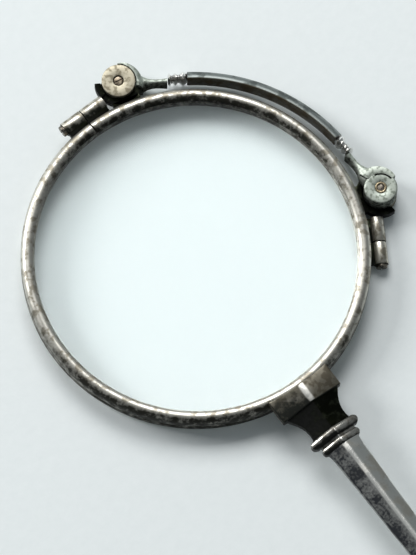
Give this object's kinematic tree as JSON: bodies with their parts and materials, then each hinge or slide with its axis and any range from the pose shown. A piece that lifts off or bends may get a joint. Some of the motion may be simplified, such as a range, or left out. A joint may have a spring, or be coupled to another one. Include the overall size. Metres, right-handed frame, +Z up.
{
  "type": "folding lorgnette",
  "caption": "Folding lorgnette with round lenses in split rims, an arched bridge hinged to both, and a six-sided handle with a ribbon ring",
  "frame": {"origin": "middle of the bounding box at the bottom, on the table the folded lorgnette lies on", "axes": "+Z is up, out of the front lens; the handle runs towards -Y and the lenses are at +Y; +X is the side the bridge is on when folded"},
  "size_m": [0.0444, 0.1366, 0.007],
  "materials": {
    "silver": "solid silver, worn bright on the edges and tarnished dark in the hollows",
    "lens_glass": "clear ground and polished spectacle glass",
    "screw_steel": "small turned steel screws and sprung washers, dulled",
    "bush_brass": "turned brass bush, flush and worn"
  },
  "bodies": {
    "handle_side": {"front_rim": "silver", "front_lens": "lens_glass", "front_clamp_plain": "silver", "front_clamp_tapped": "silver", "front_clamp_screw": "screw_steel", "front_hinge_leaf": "silver", "handle_head": "silver", "handle_shaft": "silver", "handle_finial": "silver"},
    "bridge": {"bridge_bar": "silver", "bridge_front_ferrule": "silver", "bridge_rear_ferrule": "silver", "bridge_front_knuckle": "silver", "bridge_rear_knuckle": "silver", "front_hinge_bush": "bush_brass", "rear_hinge_bush": "bush_brass", "front_hinge_screw": "screw_steel", "rear_hinge_screw": "screw_steel", "front_hinge_washer": "screw_steel", "rear_hinge_washer": "screw_steel"},
    "folding_lens": {"rear_rim": "silver", "rear_lens": "lens_glass", "rear_clamp_plain": "silver", "rear_clamp_tapped": "silver", "rear_clamp_screw": "screw_steel", "rear_hinge_leaf": "silver"},
    "ribbon_ring": {"ribbon_ring": "silver"}
  },
  "joints": [
    {"name": "bridge_swing", "type": "hinge", "parent": "handle_side", "child": "bridge", "pos_m": [0.00315, 0.06631, 0.00175], "axis": [0, 0, 1], "range_deg": [0, 90]},
    {"name": "lens_swing", "type": "hinge", "parent": "bridge", "child": "folding_lens", "pos_m": [0.02003, 0.03788, 0.00175], "axis": [0, 0, 1], "range_deg": [0, 90]},
    {"name": "ribbon_ring_swing", "type": "hinge", "parent": "handle_side", "child": "ribbon_ring", "pos_m": [-0.002, -0.05937, 0.0035], "axis": [-1, 0, 0], "range_deg": [-60, 110]}
  ]
}
